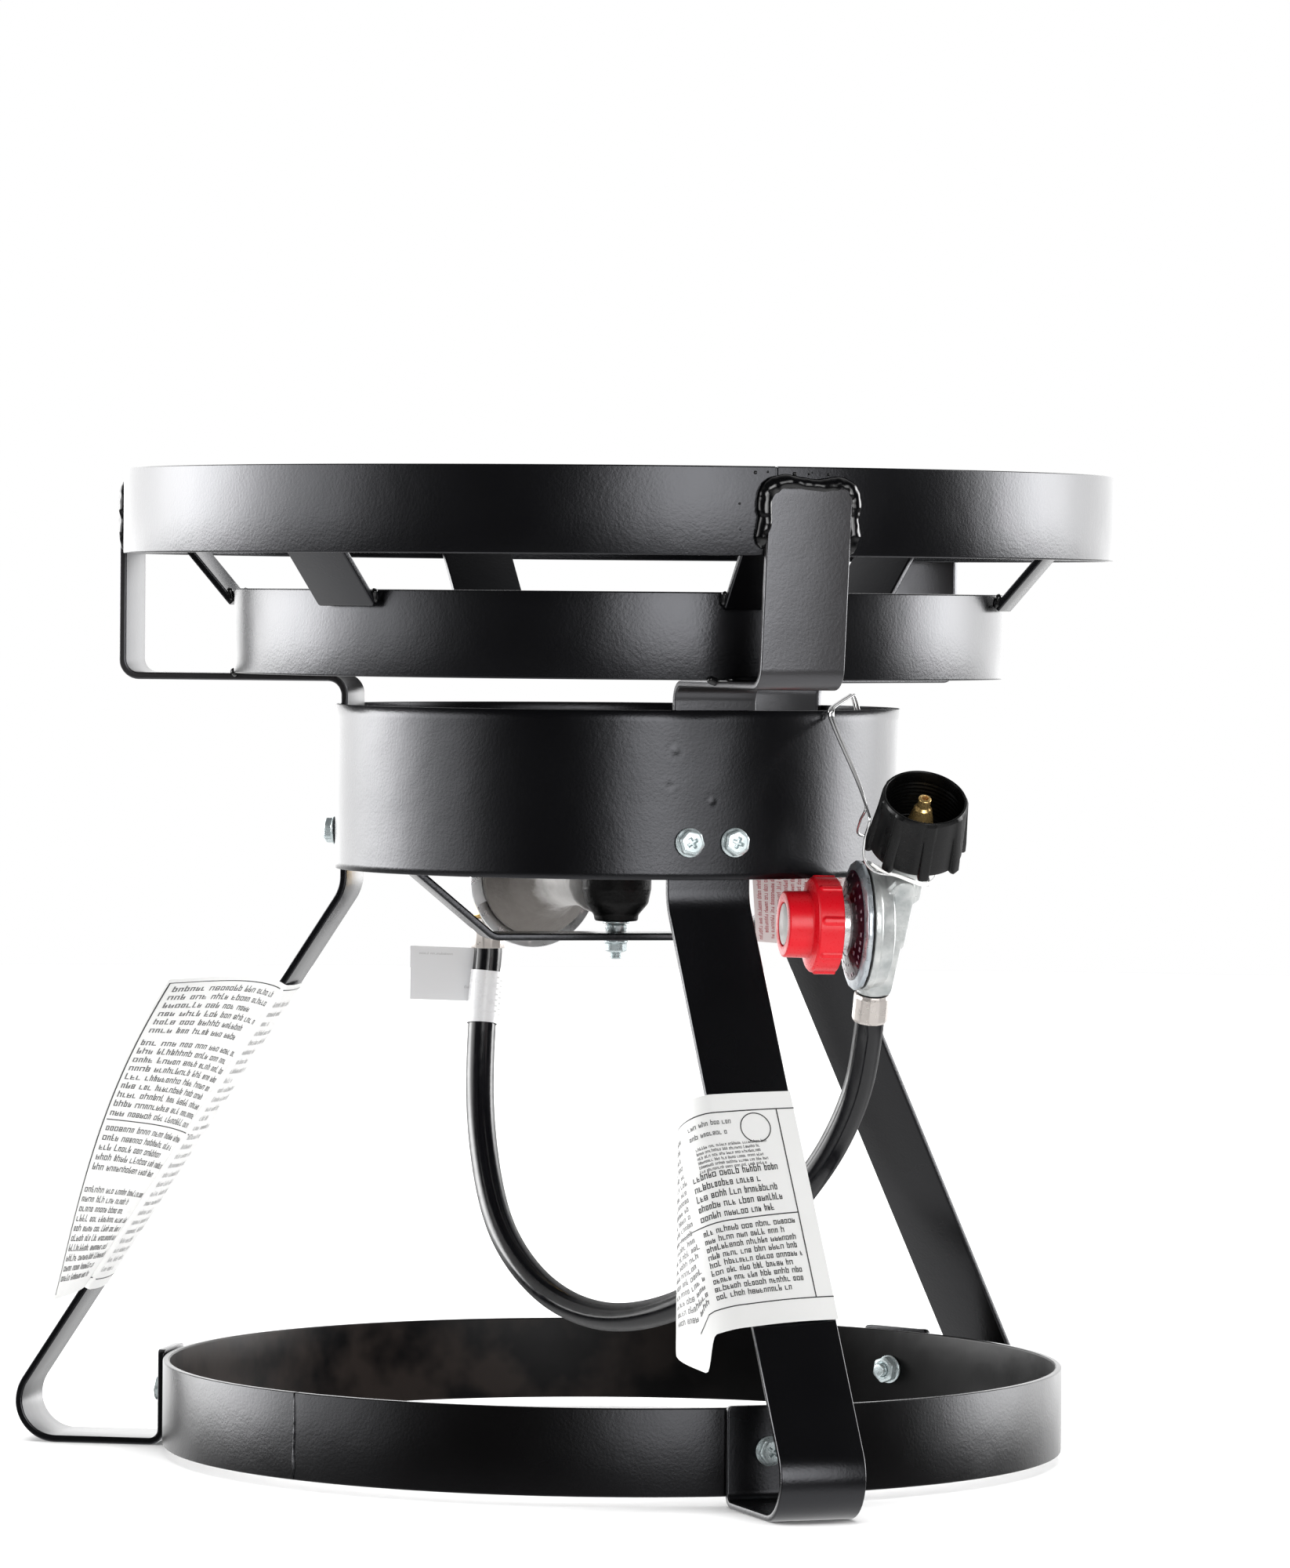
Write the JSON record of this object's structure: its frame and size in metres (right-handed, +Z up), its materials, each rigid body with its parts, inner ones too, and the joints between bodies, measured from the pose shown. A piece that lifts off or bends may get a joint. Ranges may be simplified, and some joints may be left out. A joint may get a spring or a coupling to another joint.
{
  "type": "propane burner stand",
  "caption": "Round propane burner stand: strap legs on a base ring, wind shield round a cast burner, pot rings above, adjustable gas regulator and hose hung at its side.",
  "frame": {"origin": "centre of the stand's footprint on the floor: the middle of the box round the legs and rings, without the hose and what hangs on it", "axes": "+Z up, -Y is the front, as the picture looks at it; the regulator hangs at the front right"},
  "size_m": [0.4968, 0.4886, 0.444],
  "materials": {
    "powder_coat": "satin black powder coat",
    "cast_black": "black painted casting, matt",
    "cast_grey": "rough silver-grey casting",
    "zinc_plate": "bright zinc plate",
    "die_cast": "bare die casting, semi-bright",
    "bonnet_metal": "bare die casting with a dark label on its cone",
    "knob_red": "semi-gloss red plastic",
    "knob_insert": "grey plastic disc",
    "nut_black": "satin black plastic",
    "brass": "bright turned brass",
    "ferrule_metal": "crimped ferrule, warm grey",
    "hose_rubber": "smooth glossy black rubber",
    "diaphragm_rubber": "rubber sheet",
    "spring_steel": "spring steel wire"
  },
  "bodies": {
    "stand": {"arm_front": "powder_coat", "arm_left": "powder_coat", "arm_right": "powder_coat", "base_nut_front": "zinc_plate", "base_nut_left": "zinc_plate", "base_nut_right": "zinc_plate", "base_ring": "powder_coat", "base_screw_front": "zinc_plate", "base_screw_left": "zinc_plate", "base_screw_right": "zinc_plate", "burner_bowl": "cast_black", "burner_brace": "powder_coat", "burner_nut_lower": "zinc_plate", "burner_nut_upper": "zinc_plate", "burner_port_cap": "cast_black", "burner_stud": "zinc_plate", "burner_washer": "zinc_plate", "cradle_strap_1": "powder_coat", "cradle_strap_2": "powder_coat", "cradle_strap_3": "powder_coat", "cradle_strap_4": "powder_coat", "cradle_strap_5": "powder_coat", "cradle_strap_6": "powder_coat", "diaphragm": "diaphragm_rubber", "elbow": "brass", "ferrule_burner": "ferrule_metal", "ferrule_regulator": "ferrule_metal", "gas_hose": "hose_rubber", "hanger_wire": "spring_steel", "inlet_nipple": "brass", "leg_front": "powder_coat", "leg_left": "powder_coat", "leg_right": "powder_coat", "lower_ring": "powder_coat", "orifice_fitting": "brass", "range_spring": "spring_steel", "regulator_body": "die_cast", "regulator_bonnet": "bonnet_metal", "shield_nut_front_a": "zinc_plate", "shield_nut_front_b": "zinc_plate", "shield_nut_left_a": "zinc_plate", "shield_nut_left_b": "zinc_plate", "shield_nut_right_a": "zinc_plate", "shield_nut_right_b": "zinc_plate", "shield_screw_front_a": "zinc_plate", "shield_screw_front_b": "zinc_plate", "shield_screw_left_a": "zinc_plate", "shield_screw_left_b": "zinc_plate", "shield_screw_right_a": "zinc_plate", "shield_screw_right_b": "zinc_plate", "upper_ring": "powder_coat", "venturi_horn": "cast_grey", "wind_shield": "powder_coat"},
    "control_knob": {"control_knob": "knob_red", "knob_disc": "knob_insert", "adjusting_screw": "zinc_plate"},
    "spring_button": {"spring_button": "die_cast"},
    "valve": {"valve_poppet": "brass"},
    "coupling_nut": {"coupling_nut": "nut_black"},
    "air_shutter": {"air_shutter": "zinc_plate"}
  },
  "joints": [
    {"name": "pressure_knob_turn", "type": "hinge", "parent": "stand", "child": "control_knob", "pos_m": [0.0982, -0.08914, 0.24556], "axis": [0.9803, 0.1971, -0.016], "range_deg": [0, 900]},
    {"name": "spring_button_travel", "type": "slide", "parent": "stand", "child": "spring_button", "axis": [0.9803, 0.1971, -0.016], "range_m": [0, 0.0032], "deforming": ["range_spring"]},
    {"name": "valve_lift", "type": "slide", "parent": "stand", "child": "valve", "axis": [0.9803, 0.1971, -0.016], "range_m": [0, 0.0008], "stiffness_N_per_m": 400},
    {"name": "coupling_nut_spin", "type": "hinge", "parent": "stand", "child": "coupling_nut", "pos_m": [0.15699, -0.11499, 0.29201], "axis": [0.1337, -0.6011, 0.7879], "continuous": true},
    {"name": "air_shutter_turn", "type": "hinge", "parent": "stand", "child": "air_shutter", "pos_m": [-0.01367, 0.09267, 0.259], "axis": [-0.4679, 0.8838, 0], "range_deg": [-35, 25]}
  ],
  "couplings": [
    {"joint": "spring_button_travel", "follows": "pressure_knob_turn", "m_per_rad": 0.00019894}
  ]
}
